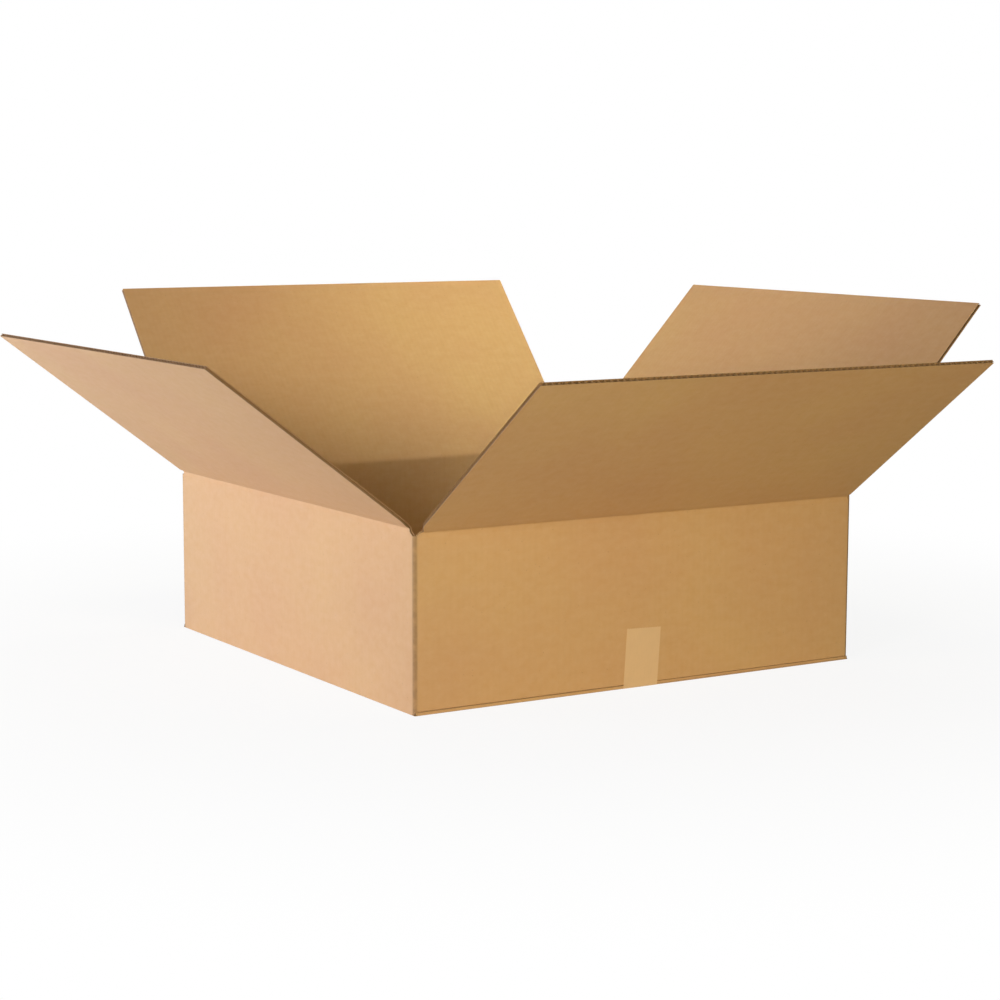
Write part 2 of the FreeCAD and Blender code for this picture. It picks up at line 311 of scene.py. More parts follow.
def kraft_group():
    """Shader group: colour, roughness and relief of a kraft face sheet.

    It reads the sheet's own UV map, in metres, with U across the flutes.
    """
    if "Kraft paper" in bpy.data.node_groups:
        return bpy.data.node_groups["Kraft paper"]
    tree = bpy.data.node_groups.new("Kraft paper", "ShaderNodeTree")
    add_sockets(tree, "INPUT", "Color", "Colour")
    add_sockets(tree, "INPUT", "Float", "Mottle", "Streaks", "Specks",
                "Flute lines", "Flute pitch", "Seed", "Wear")
    add_sockets(tree, "OUTPUT", "Color", "Colour")
    add_sockets(tree, "OUTPUT", "Float", "Roughness", "Relief")
    add = new_nodes(tree)
    entry = add("NodeGroupInput").outputs
    sheet = add("ShaderNodeUVMap", {"uv_map": "Sheet"}).outputs[0]
    offset = add("ShaderNodeCombineXYZ", X=entry["Seed"], Y=entry["Seed"], Z=entry["Seed"])
    moved = add("ShaderNodeVectorMath", {"operation": "ADD"}, i0=sheet, i1=offset.outputs[0])
    place = moved.outputs[0]

    def noise(scale, detail, roughness, across=1.0, along=1.0):
        """Noise about zero; a stretch below 1 draws it out that way."""
        stretched = add("ShaderNodeMapping", Vector=place, Scale=(across, along, 1.0))
        made = add("ShaderNodeTexNoise", Vector=stretched.outputs[0],
                   Scale=scale, Detail=detail, Roughness=roughness)
        return maths(add, "SUBTRACT", made.outputs[0], 0.5)

    clouds = noise(scale=70.0, detail=5.0, roughness=0.68, along=1.3)
    broad = noise(scale=5.0, detail=2.0, roughness=0.5)
    streaks = noise(scale=60.0, detail=4.0, roughness=0.6, across=0.16, along=2.2)
    fibres = noise(scale=420.0, detail=3.0, roughness=0.7, across=0.35, along=1.6)
    pulp = noise(scale=900.0, detail=2.0, roughness=0.6)

    # Tone: mottling, grain and faint lines over the flutes; the lines are painted shade of the low
    # ridges that the flutes press into the face sheet
    mottle = plus(add, times(add, clouds, 1.3), broad)
    tone = times(add, mottle, entry["Mottle"])
    grain = plus(add, streaks, times(add, fibres, 0.9))
    tone = plus(add, tone, times(add, grain, entry["Streaks"]))
    across = add("ShaderNodeSeparateXYZ", Vector=sheet).outputs[0]
    # Painted shade lines at the flute pitch, as the ridges of the face sheet would cast
    turns = maths(add, "DIVIDE", across, entry["Flute pitch"])
    wave = maths(add, "COSINE", times(add, turns, 2 * math.pi))
    fade = plus(add, 0.75, times(add, broad, 1.6))
    lines = times(add, times(add, wave, fade), entry["Flute lines"])
    tone = plus(add, tone, lines, 1.0)

    # Specks: a dark dot in the few cells whose chance is high enough
    rare = 0.86
    dots = add("ShaderNodeTexVoronoi", {"feature": "F1"}, Vector=place, Scale=170.0)
    chance = add("ShaderNodeSeparateXYZ", Vector=dots.outputs["Color"]).outputs[0]
    chosen = maths(add, "GREATER_THAN", chance, rare)
    near = add("ShaderNodeMapRange", Value=dots.outputs["Distance"],
               From_Min=0.05, From_Max=0.13, To_Min=1.0, To_Max=0.0)
    speck = times(add, chosen, near.outputs[0])
    tone = maths(add, "SUBTRACT", tone, times(add, speck, entry["Specks"]))

    # Colour: darker and browner on the bands down the corner folds, partly real worn paper and
    # partly painted shade in the folds
    shade = add("ShaderNodeVectorMath", {"operation": "SCALE"}, i0=entry["Colour"], Scale=tone)
    hue = plus(add, 0.5, times(add, broad, 0.02))
    richness = plus(add, 1.0, times(add, clouds, -0.17))
    fresh = add("ShaderNodeHueSaturation", Color=shade.outputs[0],
                Hue=hue, Saturation=richness).outputs[0]
    worn = add("ShaderNodeHueSaturation", Color=fresh, Saturation=1.05, Value=0.5).outputs[0]
    patchy = plus(add, 0.9, times(add, clouds, 1.5))
    wear_and_shade_share = times(add, entry["Wear"], patchy)
    colour = add("ShaderNodeMix", {"data_type": "RGBA"}, i0=wear_and_shade_share, i6=fresh, i7=worn)

    # Relief in metres: the flutes that show through, then fibres, pulp and cockles
    relief = times(add, wave, times(add, fade, 0.000015))
    for part, height in ((fibres, 0.00006), (pulp, 0.00004), (clouds, 0.00012)):
        relief = plus(add, relief, times(add, part, height))
    rough = plus(add, 0.86, times(add, pulp, 0.25))
    add("NodeGroupOutput", Colour=colour.outputs[2], Roughness=rough, Relief=relief)
    return tree


def kraft_material(name, colour, **values):
    """Matte kraft paper; the same sheet all over apart from its fibres, and the wear and painted
    shade down the corner folds.
    """
    material, tree, add = new_material(name)
    # Band down the corner folds: partly real wear, partly painted shade in the folds
    wear = add("ShaderNodeAttribute", {"attribute_name": "Wear"}).outputs["Fac"]
    pitch = bpy.context.scene.carton_board.pitch
    paper = add("ShaderNodeGroup", {"node_tree": kraft_group()},
                Colour=(*colour, 1.0), Flute_pitch=pitch, Wear=wear, **values).outputs
    bump = add("ShaderNodeBump", Height=paper["Relief"], Strength=0.6, Distance=1.0)
    wire(tree, tree.nodes["Principled BSDF"], Base_Color=paper["Colour"],
         Roughness=paper["Roughness"], Normal=bump.outputs[0], Specular_IOR_Level=0.25)
    return material


def board_materials():
    """Outside, inside and fluted sheet, made once and shared by every board piece."""
    names = ("Kraft outside", "Kraft inside", "Fluting medium")
    if names[0] in bpy.data.materials:
        return [bpy.data.materials[name] for name in names]
    colours = bpy.context.scene.carton_colours
    return [
        kraft_material(names[OUTSIDE], colours.outside, Seed=0.0, Mottle=0.085,
                       Streaks=0.04, Specks=0.25, Flute_lines=0.006),
        kraft_material(names[INSIDE], colours.inside, Seed=3.7, Mottle=0.095,
                       Streaks=0.04, Specks=0.25, Flute_lines=0.010),
        kraft_material(names[MEDIUM], colours.medium, Seed=7.1, Mottle=0.14,
                       Streaks=0.08, Specks=0.30, Flute_lines=0.0),
    ]


def tape_material():
    """Tan film with a soft gloss, fine pull lines and small wrinkles."""
    material, tree, add = new_material("Tan tape")
    sheet = add("ShaderNodeUVMap", {"uv_map": "Sheet"}).outputs[0]
    pulled = add("ShaderNodeMapping", Vector=sheet, Scale=(1.0, 0.12, 1.0)).outputs[0]
    lines = add("ShaderNodeTexNoise", Vector=pulled, Scale=520.0, Detail=3.0).outputs[0]
    clouds = add("ShaderNodeTexNoise", Vector=sheet, Scale=70.0, Detail=3.0).outputs[0]
    change = plus(add, times(add, lines, 0.06), times(add, clouds, 0.08))
    tone = plus(add, 0.93, change)
    colour = tuple(bpy.context.scene.carton_colours.tape)
    shade = add("ShaderNodeVectorMath", {"operation": "SCALE"}, i0=colour, Scale=tone)
    rough = plus(add, 0.34, times(add, clouds, 0.16))
    height = plus(add, times(add, lines, 0.00002), times(add, clouds, 0.00012))
    bump = add("ShaderNodeBump", Height=height, Strength=0.6, Distance=1.0)
    wire(tree, tree.nodes["Principled BSDF"], Base_Color=shade.outputs[0],
         Roughness=rough, Normal=bump.outputs[0], Specular_IOR_Level=0.4)
    return material


def flute_tree():
    """Geometry nodes: a flat sheet, X across, becomes the fluted sheet."""
    if "Flute wave" in bpy.data.node_groups:
        return bpy.data.node_groups["Flute wave"]
    tree = bpy.data.node_groups.new("Flute wave", "GeometryNodeTree")
    tree.is_modifier = True
    add_sockets(tree, "INPUT", "Geometry", "Geometry")
    add_sockets(tree, "INPUT", "Float", "Pitch", "Height")
    add_sockets(tree, "INPUT", "Material", "Material")
    add_sockets(tree, "OUTPUT", "Geometry", "Geometry")
    add = new_nodes(tree)
    entry = add("NodeGroupInput").outputs
    place = add("GeometryNodeInputPosition").outputs[0]
    across = add("ShaderNodeSeparateXYZ", Vector=place).outputs[0]
    turns = maths(add, "DIVIDE", across, entry["Pitch"])
    wave = maths(add, "SINE", times(add, turns, 2 * math.pi))
    rise = times(add, wave, maths(add, "DIVIDE", entry["Height"], 2.0))
    offset = add("ShaderNodeCombineXYZ", Z=rise).outputs[0]
    moved = add("GeometryNodeSetPosition", Geometry=entry["Geometry"], Offset=offset)
    real = add("GeometryNodeRealizeInstances", Geometry=moved.outputs[0])
    finish = add("GeometryNodeSetMaterial", Geometry=real.outputs[0], Material=entry["Material"])
    add("NodeGroupOutput", Geometry=finish.outputs[0])
    return tree


def spaced(start, end, step):
    """Evenly spaced values from start to end, about a step apart."""
    count = max(1, math.ceil(abs(end - start) / step))
    return list(np.linspace(start, end, count + 1))


def merged(*runs):
    """All values of several runs in order, each once."""
    values = sorted(value for run in runs for value in run)
    kept = [values[0]]
    for value in values[1:]:
        if value - kept[-1] > TINY:
            kept.append(value)
    return kept


def smooth_step(value):
    """From 0 to 1 with a soft start and end, and level outside."""
    value = np.clip(value, 0.0, 1.0)
    return value * value * (3 - 2 * value)


def everywhere(x, y):
    """A keep() that leaves nothing out."""
    return True


def flat_grid(columns, rows, keep):
    """Corners and quads of a flat grid, with only the cells that keep() wants."""
    index = {}
    corners = []
    quads = []

    def corner(i, j):
        if (i, j) not in index:
            index[i, j] = len(corners)
            corners.append((columns[i], rows[j]))
        return index[i, j]

    for i in range(len(columns) - 1):
        for j in range(len(rows) - 1):
            middle_x = (columns[i] + columns[i + 1]) / 2
            middle_y = (rows[j] + rows[j + 1]) / 2
            if keep(middle_x, middle_y):
                quads.append((corner(i, j), corner(i + 1, j),
                              corner(i + 1, j + 1), corner(i, j + 1)))
    return np.array(corners), quads


def closed_sheet(quads, count):
    """Faces of both sides of a sheet, count points on each side, and of its edge all round."""
    sides = list(quads)
    sides += [tuple(count + k for k in reversed(quad)) for quad in quads]
    ways = {(quad[k], quad[(k + 1) % 4]) for quad in quads for k in range(4)}
    edge = [(b, a, a + count, b + count) for a, b in sorted(ways) if (b, a) not in ways]
    return sides, edge


def face_sheet(columns, rows, keep, top, bottom, material, edge_material=MEDIUM):
    """A flat closed sheet between two depths: (points, faces, material numbers).

    Its cut edge takes the darker colour of the fluted sheet, unless it is given another: partly
    raw cut paper and partly painted shade along the edge.
    """
    corners, quads = flat_grid(columns, rows, keep)
    count = len(corners)
    upper = np.column_stack([corners, np.full(count, top)])
    lower = np.column_stack([corners, np.full(count, bottom)])
    sides, edge = closed_sheet(quads, count)
    # Cut edges in the darker fluting colour: partly raw paper, partly painted shade along the edge
    numbers = [material] * len(sides) + [edge_material] * len(edge)
    return np.vstack([upper, lower]), sides + edge, numbers


def fluted_sheet(columns, rows, keep, board):
    """The fluted sheet of a flat board: (points, faces, material numbers)."""
    corners, quads = flat_grid(columns, rows, keep)
    mesh = bpy.data.meshes.new("fluting")
    mesh.from_pydata([(x, y, 0.0) for x, y in corners], [], quads)
    sheet = bpy.data.objects.new("fluting", mesh)
    bpy.context.collection.objects.link(sheet)
    tree = flute_tree()
    wave = sheet.modifiers.new("Flutes", "NODES")
    wave.node_group = tree
    inputs = {item.name: item.identifier for item in tree.interface.items_tree
              if item.in_out == "INPUT"}
    wave[inputs["Pitch"]] = board.pitch
    wave[inputs["Height"]] = board.thickness - 2 * board.liner - board.medium
    wave[inputs["Material"]] = board_materials()[MEDIUM]
    solid = sheet.modifiers.new("Sheet", "SOLIDIFY")
    solid.thickness = board.medium
    solid.offset = 0.0
    made = bpy.data.meshes.new_from_object(
        sheet.evaluated_get(bpy.context.evaluated_depsgraph_get()))
    points = np.zeros(len(made.vertices) * 3)
    made.vertices.foreach_get("co", points)
    points = points.reshape(-1, 3)
    points[:, 2] -= board.thickness / 2
    faces = [tuple(polygon.vertices) for polygon in made.polygons]
    bpy.data.objects.remove(sheet)
    bpy.data.meshes.remove(mesh)
    bpy.data.meshes.remove(made)
    return points, faces, [MEDIUM] * len(faces)


def board_sheets(columns, rows, keep, fine_columns, fine_rows, fine_keep, board):
    """The three sheets of a flat board, depth 0 on the outside."""
    deep = board.thickness
    return [
        face_sheet(columns, rows, keep, 0.0, -board.liner, OUTSIDE),
        face_sheet(columns, rows, keep, board.liner - deep, -deep, INSIDE),
        fluted_sheet(fine_columns, fine_rows, fine_keep, board),
    ]


def new_piece(name, points, faces, sheet_map):
    """A smooth piece in the scene, with a UV map that gives each point's place on its sheet."""
    mesh = bpy.data.meshes.new(name)
    mesh.from_pydata(points, [], faces)
    corner_points = np.zeros(len(mesh.loops), np.int32)
    mesh.loops.foreach_get("vertex_index", corner_points)
    mesh.uv_layers.new(name="Sheet").data.foreach_set("uv", sheet_map[corner_points].ravel())
    mesh.polygons.foreach_set("use_smooth", [True] * len(faces))
    mesh.set_sharp_from_angle(angle=math.radians(40))
    piece = bpy.data.objects.new(name, mesh)
    bpy.context.collection.objects.link(piece)
    return piece


def folded_piece(name, sheets, fold, wear=None):
    """One piece from flat sheets (distance round the carton, height, depth) and a fold."""
    faces = []
    flat = []
    numbers = []
    for sheet_points, sheet_faces, sheet_numbers in sheets:
        start = sum(len(part) for part in flat)
        flat.append(sheet_points)
        faces += [tuple(start + k for k in face) for face in sheet_faces]
        numbers += sheet_numbers
    flat = np.vstack(flat)
    piece = new_piece(name, fold(flat).tolist(), faces, flat[:, :2])
    mesh = piece.data
    mesh.polygons.foreach_set("material_index", numbers)
    for material in board_materials():
        mesh.materials.append(material)
    # Darkening down the corner folds: partly real wear, partly painted shade in the folds
    worn = wear(flat) if wear else np.zeros(len(flat))
    mesh.attributes.new("Wear", "FLOAT", "POINT").data.foreach_set("value", worn)
    mesh.update()
    return piece


def creased(depth, distance, board):
    """Depths after a crease at the given distances has pressed the board from both sides."""
    press = np.exp(-(distance / board.crease_width) ** 2)
    return depth * (1 - board.crease_pinch * press) - board.crease_dip * press


def flap_frame(body):
    """Turning line, direction along it, outward direction, lean, width and length."""
    joint = JOINTS[body]
    turn = Vector(joint["pos_m"])
    along = Vector(joint["axis"])
    outward = along.cross(UP)
    lean = -QUARTER - math.radians(joint["range_deg"][0])
    direction = outward * math.sin(lean) + UP * math.cos(lean)
    corners = [point.co - turn for point in frame["nodes"][body + "_flap"].data.vertices]
    reach = [corner.dot(direction) for corner in corners]
    span = [corner.dot(along) for corner in corners]
    return turn, along, outward, lean, max(span) - min(span), max(reach)


def half_along(body):
    """Half the length of a wall."""
    return HALF_X if body in ("front", "back") else HALF_Y


def half_across(body):
    """Distance from the middle of the carton to a wall's outer face."""
    return HALF_Y if body in ("front", "back") else HALF_X


def carton_path(board):
    """The way round the outer face: from the glued tab to the right wall's cut edge."""
    glue = 0.0001
    cut_back = 0.0005
    radius = board.fold_radius
    tab_x = HALF_X - board.thickness - glue
    tab_end = HALF_Y - board.tab_width
    arc = radius * QUARTER
    fold_x = HALF_X - radius
    fold_y = HALF_Y - radius

    def straight(name, start, end):
        start, end = Vector(start), Vector(end)
        run = end - start
        return {"name": name, "start": start, "way": run.normalized(), "length": run.length}

    def corner(name, centre, angle):
        return {"name": name, "centre": Vector(centre), "angle": angle, "length": arc}

    return [
        straight("tab", (tab_x, tab_end), (tab_x, fold_y)),
        corner("tab_fold", (tab_x - radius, fold_y), 0.0),
        straight("back", (tab_x - radius, HALF_Y), (-fold_x, HALF_Y)),
        corner("back_left", (-fold_x, fold_y), QUARTER),
        straight("left", (-HALF_X, fold_y), (-HALF_X, -fold_y)),
        corner("front_left", (-fold_x, -fold_y), 2 * QUARTER),
        straight("front", (-fold_x, -HALF_Y), (fold_x, -HALF_Y)),
        corner("front_right", (fold_x, -fold_y), 3 * QUARTER),
        straight("right", (HALF_X, -fold_y), (HALF_X, HALF_Y - cut_back)),
    ]


def wall_middles(board):
    """For each wall, the distance round the carton to its middle."""
    middles = {"back": (0.0, HALF_Y), "left": (-HALF_X, 0.0),
               "front": (0.0, -HALF_Y), "right": (HALF_X, 0.0)}
    distances = {}
    travelled = 0.0
    for part in carton_path(board):
        if part["name"] in middles:
            middle = Vector(middles[part["name"]])
            distances[part["name"]] = travelled + (middle - part["start"]).length
        travelled += part["length"]
    return distances


def corner_starts(path):
    """Distance round the carton to the start of each rounded corner."""
    starts = []
    travelled = 0.0
    for part in path:
        if "centre" in part:
            starts.append(travelled)
        travelled += part["length"]
    return starts


def round_carton(distance, board):
    """Place on the outer face and outward direction, at distances round the carton."""
    distance = np.maximum(distance, 0.0)
    place = np.zeros((len(distance), 2))
    outward = np.zeros((len(distance), 2))
    travelled = 0.0
    path = carton_path(board)
    for part in path:
        last = part is path[-1]
        end = travelled + part["length"]
        here = (distance >= travelled - TINY) & ((distance < end) | last)
        run = distance[here] - travelled
        if "way" in part:
            way = np.array(part["way"])
            place[here] = np.array(part["start"]) + run[:, None] * way
            outward[here] = (way[1], -way[0])
        else:
            angle = part["angle"] + run / board.fold_radius
            ray = np.column_stack([np.cos(angle), np.sin(angle)])
            place[here] = np.array(part["centre"]) + board.fold_radius * ray
            outward[here] = ray
        travelled = end
    return place, outward


def floor_height(body, board):
    """Underside of a wall's floor flap: outer ones below, inner ones on them."""
    return 0.0 if body in ("left", "right") else board.thickness + board.layer_gap


def slot_cut(body, offset, height, half, board):
    """Offsets from a wall's middle once the slots' rounded ends have cut into its edges."""
    rounding = 0.8
    near_side = {"front": -1, "left": 1}.get(body, 0)
    worn = offset * near_side > 0
    flare = np.where(worn, board.worn_flare, board.slot_flare)
    start = BODY_HIGH.z - np.where(worn, board.worn_bowl, board.slot_bowl)
    cut = smooth_step((height - start) / (rounding * flare))
    cut *= 1 - smooth_step((height - JOINTS[body]["pos_m"][2]) / (FLARE_REACH * flare))
    return offset * (1 - cut * flare / half)


def make_body(board):
    """Walls, corner folds, joint tab and both layers of the floor, as one piece."""
    arc = board.fold_radius * QUARTER
    radius = board.floor_radius
    floor_arc = radius * QUARTER
    half_slot = board.slot_width / 2
    path = carton_path(board)
    starts = corner_starts(path)
    total = sum(part["length"] for part in path)
    tab_flat = path[0]["length"]
    tab_length = tab_flat + path[1]["length"]

    # Walls and floor flaps: from where to where they lie round the carton
    middles = wall_middles(board)
    spans = {}
    floor_spans = {}
    for body, middle in middles.items():
        half = half_along(body) - half_slot
        spans[body] = (max(middle - half, tab_length), middle + half)
        floor_spans[body] = spans[body]
    for body in ("left", "right"):
        half = HALF_Y - board.floor_edge
        floor_spans[body] = (middles[body] - half, middles[body] + half)
    slot_edges = [edge for span in spans.values() for edge in span]

    # Heights on the flat board, where floor flaps go on below the walls
    tops = {body: JOINTS[body]["pos_m"][2] - board.crease_reach for body in middles}
    fold_start = {body: floor_height(body, board) + radius for body in middles}
    flap_end = {
        body: fold_start[body] - floor_arc - (half_across(body) - radius - board.seam_gap / 2)
        for body in middles
    }

    # Corner folds and the glued tab: they end a little above the floor and below the creases
    above_floor = 0.0015
    below_crease = 0.001
    folds = [start + arc / 2 for start in starts]
    bowls = [board.worn_bowl if part["name"] == "front_left" else board.slot_bowl
             for part in path if "centre" in part]
    slot_tops = [BODY_HIGH.z - bowl for bowl in bowls]
    slot_top = min(slot_tops)
    slot_foot = BODY_LOW.z + above_floor
    tab_low = 2 * board.thickness + board.layer_gap + above_floor
    tab_high = min(joint["pos_m"][2] for joint in JOINTS.values()) - board.thickness - below_crease

    def keep(x, y):
        """Whether there is board at a place: a wall, a floor flap, the tab or a corner fold."""
        for body, (low, high) in spans.items():
            floor_low, floor_high = floor_spans[body]
            if low < x < high:
                return flap_end[body] < y < tops[body]
            if floor_low < x < floor_high and y < fold_start[body]:
                return flap_end[body] < y
            beside = floor_low - board.slit < x < floor_high + board.slit
            if beside and y < fold_start[body] + board.slit:
                return False
        if x < tab_length:
            slope = max(0.0, tab_flat - x) * math.tan(board.tab_taper)
            return tab_low + slope < y < tab_high - slope
        nearest = min(range(len(folds)), key=lambda k: abs(x - folds[k]))
        return slot_foot < y < slot_tops[nearest]

    def keep_fluting(x, y):
        """Fluting only near the cut edges, where it can be seen."""
        near = 3 * board.pitch
        edge_near = any(abs(x - edge) < near for edge in slot_edges + [total])
        return keep(x, y) and (edge_near or x < tab_length)

    # Columns of the mesh, closer together at the tab and round the corner folds
    tab_step = 0.003
    fold_side = 0.003
    cuts = [edge for span in floor_spans.values() for edge in span]
    cuts += [edge + side * board.slit
             for span in floor_spans.values() for edge, side in zip(span, (-1, 1))]
    cuts = [min(cut, total) for cut in cuts]
    columns = merged(
        spaced(0.0, tab_flat, tab_step),
        spaced(tab_flat, tab_length, board.fold_radius / 4),
        *[spaced(low, high, COLUMN_STEP) for low, high in spans.values()],
        *[spaced(start, start + arc, arc / 8) for start in starts],
        *[(start - fold_side, start + arc + fold_side) for start in starts],
        cuts,
        [total],
    )
    step = board.pitch / board.columns_per_flute
    fine_columns = merged(slot_edges, cuts, spaced(0.0, total, step), [total])

    # Rows of the mesh, closer together at the tab's tapers, the floor folds and the slots
    taper = 0.0085
    wall_step = 0.04

    def body_rows(taper_step, fold_steps, slot_step, wall_rows=()):
        return merged(
            list(flap_end.values()),
            [height + board.slit for height in fold_start.values()],
            [slot_foot, *slot_tops],
            list(tops.values()),
            spaced(tab_low, tab_low + taper, taper_step),
            spaced(tab_high - taper, tab_high, taper_step),
            *[spaced(fold_start[body] - floor_arc, fold_start[body], floor_arc / fold_steps)
              for body in ("front", "left")],
            spaced(slot_top, tops["left"], slot_step),
            wall_rows,
        )

    rows = body_rows(taper_step=0.0017, fold_steps=6, slot_step=0.001,
                     wall_rows=spaced(fold_start["front"], tops["front"], wall_step))
    fine_rows = body_rows(taper_step=0.0034, fold_steps=4, slot_step=0.002)
    sheets = board_sheets(columns, rows, keep, fine_columns, fine_rows, keep_fluting, board)

    # A narrow strip of face paper closes the side edges of the outer floor flaps
    strip_start = 0.0001
    strip_end = 0.0004
    for body in ("left", "right"):
        flap_rows = [row for row in rows if flap_end[body] <= row <= fold_start[body]]
        for edge, side in zip(floor_spans[body], (1, -1)):
            strip = sorted((edge + side * strip_start, edge + side * strip_end))
            sheets.append(face_sheet(strip, flap_rows, everywhere, -board.liner,
                                     board.liner - board.thickness, OUTSIDE, OUTSIDE))

    def on_floor_flap(flat, body):
        low, high = floor_spans[body]
        reach = board.slit / 2
        inside = (flat[:, 0] > low - reach) & (flat[:, 0] < high + reach)
        return inside & (flat[:, 1] < fold_start[body] + reach)

    def fold(flat):
        distance = flat[:, 0].copy()
        high = flat[:, 1].copy()
        out = flat[:, 2].copy()
        for body, (start, end) in spans.items():
            top = (distance > start - 2 * TINY) & (distance < end + 2 * TINY) & (high > slot_top)
            offset = distance[top] - middles[body]
            half = end - middles[body]
            distance[top] = middles[body] + slot_cut(body, offset, high[top], half, board)
        place, outward = round_carton(distance, board)

        # The foot of a top slot is a bowl: it rises from the corner towards both walls
        bowl_width = 0.95
        on_rim = 0.0005
        for middle, top in zip(folds, slot_tops):
            share = (flat[:, 0] - middle) / (arc + half_slot)
            rim = (np.abs(share) < bowl_width) & (np.abs(high - top) < on_rim)
            high[rim] += board.slot_bowl / 4 * share[rim] ** 2

        # Floor flaps turn in under their walls and lie level from there
        for body in floor_spans:
            under = on_floor_flap(flat, body)
            wall_place, wall_outward = round_carton(np.array([middles[body]]), board)
            along = np.array([-wall_outward[0, 1], wall_outward[0, 0]])
            across = flat[under, 0] - middles[body]
            place[under] = wall_place + across[:, None] * along
            outward[under] = wall_outward
            run = np.maximum(fold_start[body] - flat[under, 1], 0.0)
            angle = np.minimum(run / radius, QUARTER)
            ray = radius + flat[under, 2] * (1 - board.fold_pinch * np.sin(2 * angle))
            past = np.maximum(run - floor_arc, 0.0)
            out[under] = ray * np.cos(angle) - radius - past
            high[under] = fold_start[body] - ray * np.sin(angle)
        return np.column_stack([place + outward * out[:, None], high])

    def wear(flat):
        """Worn and shaded lines down the corner folds, and none on the floor flaps: partly real
        worn paper and partly painted shade in the folds.
        """
        wear_and_shade_half = 0.0015
        fade = 0.003
        away = np.min(np.abs(flat[:, :1] - np.array(folds)), axis=1)
        band = 1 - smooth_step((away - wear_and_shade_half) / fade)
        for body in floor_spans:
            band[on_floor_flap(flat, body)] = 0.0
        return band

    piece = folded_piece("carton_board", sheets, fold, wear)
    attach(piece, "carton")
    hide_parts("carton_body")
    return piece


def make_flap(body, board):
    """One top flap with the crease that joins it to its wall."""
    turn, along, outward, lean, width, length = flap_frame(body)
    middle = wall_middles(board)[body]
    half = width / 2
    inset = half_across(body) - math.hypot(turn.x, turn.y)

    # Mesh of the flat flap, closer together at the crease and beside the slots
    below = -board.crease_reach
    slot_reach = FLARE_REACH * board.worn_flare
    crease_step = 0.0013
    slot_step = 0.002
    flap_step = 0.05
    slot_rows = spaced(-below, slot_reach, slot_step)
    rows = merged(
        spaced(below, -below, crease_step), slot_rows, spaced(slot_reach, length, flap_step))
    fine_rows = merged(
        spaced(below, -below, 2 * crease_step), slot_rows, [length / 2, length])
    columns = spaced(middle - half, middle + half, COLUMN_STEP)
    fine_columns = spaced(middle - half, middle + half, board.pitch / board.columns_per_flute)
    rows = [turn.z + row for row in rows]
    fine_rows = [turn.z + row for row in fine_rows]
    sheets = board_sheets(columns, rows, everywhere, fine_columns, fine_rows, everywhere, board)
    ray = (math.sin(lean / 2), math.cos(lean / 2))
    reach = board.bend_reach

    def fold(flat):
        """Bend each point by its place across the crease, which settles in a few rounds."""
        rounds = 12
        high = flat[:, 1] - turn.z
        out = creased(flat[:, 2], high, board) + inset
        share = smooth_step((high + reach) / (2 * reach))
        for _ in range(rounds):
            angle = share * lean
            bent_out = out * np.cos(angle) + high * np.sin(angle)
            bent_high = high * np.cos(angle) - out * np.sin(angle)
            travel = bent_out * ray[0] + bent_high * ray[1]
            share = (share + smooth_step((travel + reach) / (2 * reach))) / 2
        across = slot_cut(body, flat[:, 0] - middle, flat[:, 1], half, board)
        return (np.array(turn) + across[:, None] * np.array(along)
                + bent_out[:, None] * np.array(outward) + bent_high[:, None] * np.array(UP))

    piece = folded_piece(body + "_flap_board", sheets, fold)
    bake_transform(piece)
    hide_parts(body + "_flap")
    return piece


def tape_path(board):
    """Places and outward directions along the tape, from the front end to the back one."""
    radius = board.floor_radius
    fold_y = -HALF_Y + radius
    fold_z = board.thickness + board.layer_gap + radius
    edge = Vector((-HALF_Y + board.floor_edge, 0.0))
    centre = Vector((fold_y, fold_z))
    to_edge = edge - centre
    touch = math.atan2(to_edge.y, to_edge.x) - math.acos(radius / to_edge.length)
    slope = Vector((math.cos(touch), math.sin(touch)))
    start = centre + radius * slope
    wall_step = 0.004
    floor_step = 0.03
    fold_turn = 0.12
    edge_turn = 0.2
    places = []

    # Down the wall, round the inner flap's fold and over to the outer flap's edge
    for z in spaced(TAPE_HIGH.z, fold_z, wall_step):
        places.append((Vector((-HALF_Y, z)), Vector((-1, 0))))
    for angle in spaced(-math.pi, touch, fold_turn)[1:]:
        ray = Vector((math.cos(angle), math.sin(angle)))
        places.append((centre + radius * ray, ray))
    for share in (0.5, 0.95):
        places.append((start.lerp(edge, share), slope))

    # Round that edge and along the floor to the middle; the other half is its mirror image
    for angle in spaced(touch, -QUARTER, edge_turn)[1:]:
        places.append((edge, Vector((math.cos(angle), math.sin(angle)))))
    for y in spaced(edge.x, 0.0, floor_step)[1:]:
        places.append((Vector((y, 0.0)), Vector((0, -1))))
    other = [(Vector((-p.x, p.y)), Vector((-n.x, n.y))) for p, n in reversed(places[:-1])]
    return places + other


